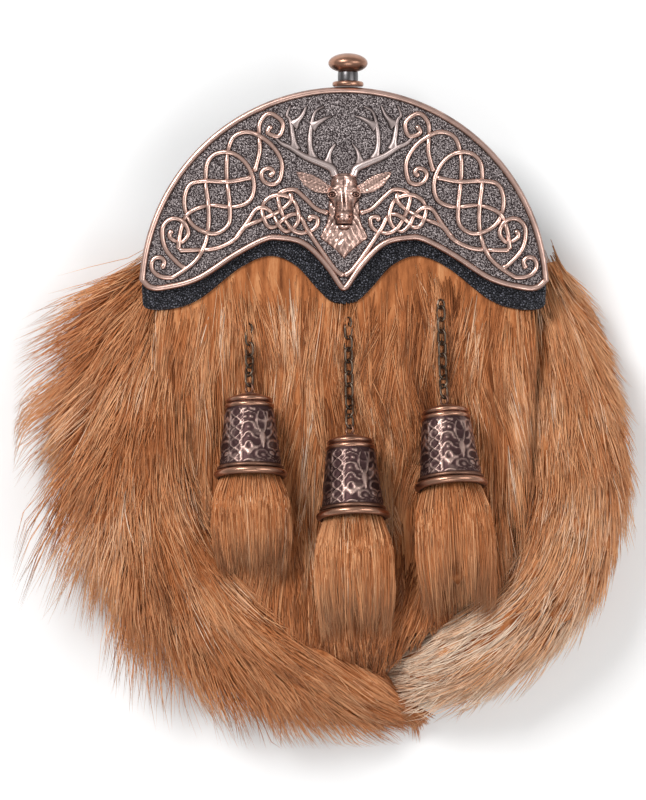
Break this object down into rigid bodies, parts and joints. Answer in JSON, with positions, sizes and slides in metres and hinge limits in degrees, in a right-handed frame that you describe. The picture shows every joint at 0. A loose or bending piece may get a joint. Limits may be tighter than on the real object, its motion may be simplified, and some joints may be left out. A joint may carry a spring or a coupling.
{
  "type": "sporran pouch",
  "caption": "Fur-fronted leather belt pouch with a half-moon cast metal cantle, knotwork and stag head in relief, chained cone tassels and fur tails round both sides.",
  "frame": {"origin": "centre of the cantle's arc, on the back panel's outer face", "axes": "+Z out of the pouch's front, +Y towards the knob at the top, so the part lies on its back"},
  "size_m": [0.2357, 0.274, 0.0686],
  "materials": {
    "black_leather": "pebbled, low sheen",
    "antique_metal": "antique copper plate, dark in the recesses",
    "tan_fur": "long fur"
  },
  "bodies": {
    "root": {"back_panel": "black_leather", "cantle": "antique_metal", "chain_staple_left": "antique_metal", "chain_staple_middle": "antique_metal", "chain_staple_right": "antique_metal", "front_panel": "black_leather", "fur_front": "tan_fur", "gusset": "black_leather", "knob": "antique_metal", "leather_trim": "black_leather", "link_left_01": "antique_metal", "link_left_02": "antique_metal", "link_left_03": "antique_metal", "link_left_04": "antique_metal", "link_left_05": "antique_metal", "link_middle_01": "antique_metal", "link_middle_02": "antique_metal", "link_middle_03": "antique_metal", "link_middle_04": "antique_metal", "link_middle_05": "antique_metal", "link_middle_06": "antique_metal", "link_middle_07": "antique_metal", "link_middle_08": "antique_metal", "link_middle_09": "antique_metal", "link_right_01": "antique_metal", "link_right_02": "antique_metal", "link_right_03": "antique_metal", "link_right_04": "antique_metal", "link_right_05": "antique_metal", "link_right_06": "antique_metal", "link_right_07": "antique_metal", "link_right_08": "antique_metal", "strap_loop_left": "antique_metal", "strap_loop_right": "antique_metal", "tail_fur_left": "tan_fur", "tail_fur_right": "tan_fur", "tassel_cone_left": "antique_metal", "tassel_cone_middle": "antique_metal", "tassel_cone_right": "antique_metal", "tassel_tuft_left": "tan_fur", "tassel_tuft_middle": "tan_fur", "tassel_tuft_right": "tan_fur"}
  },
  "joints": []
}
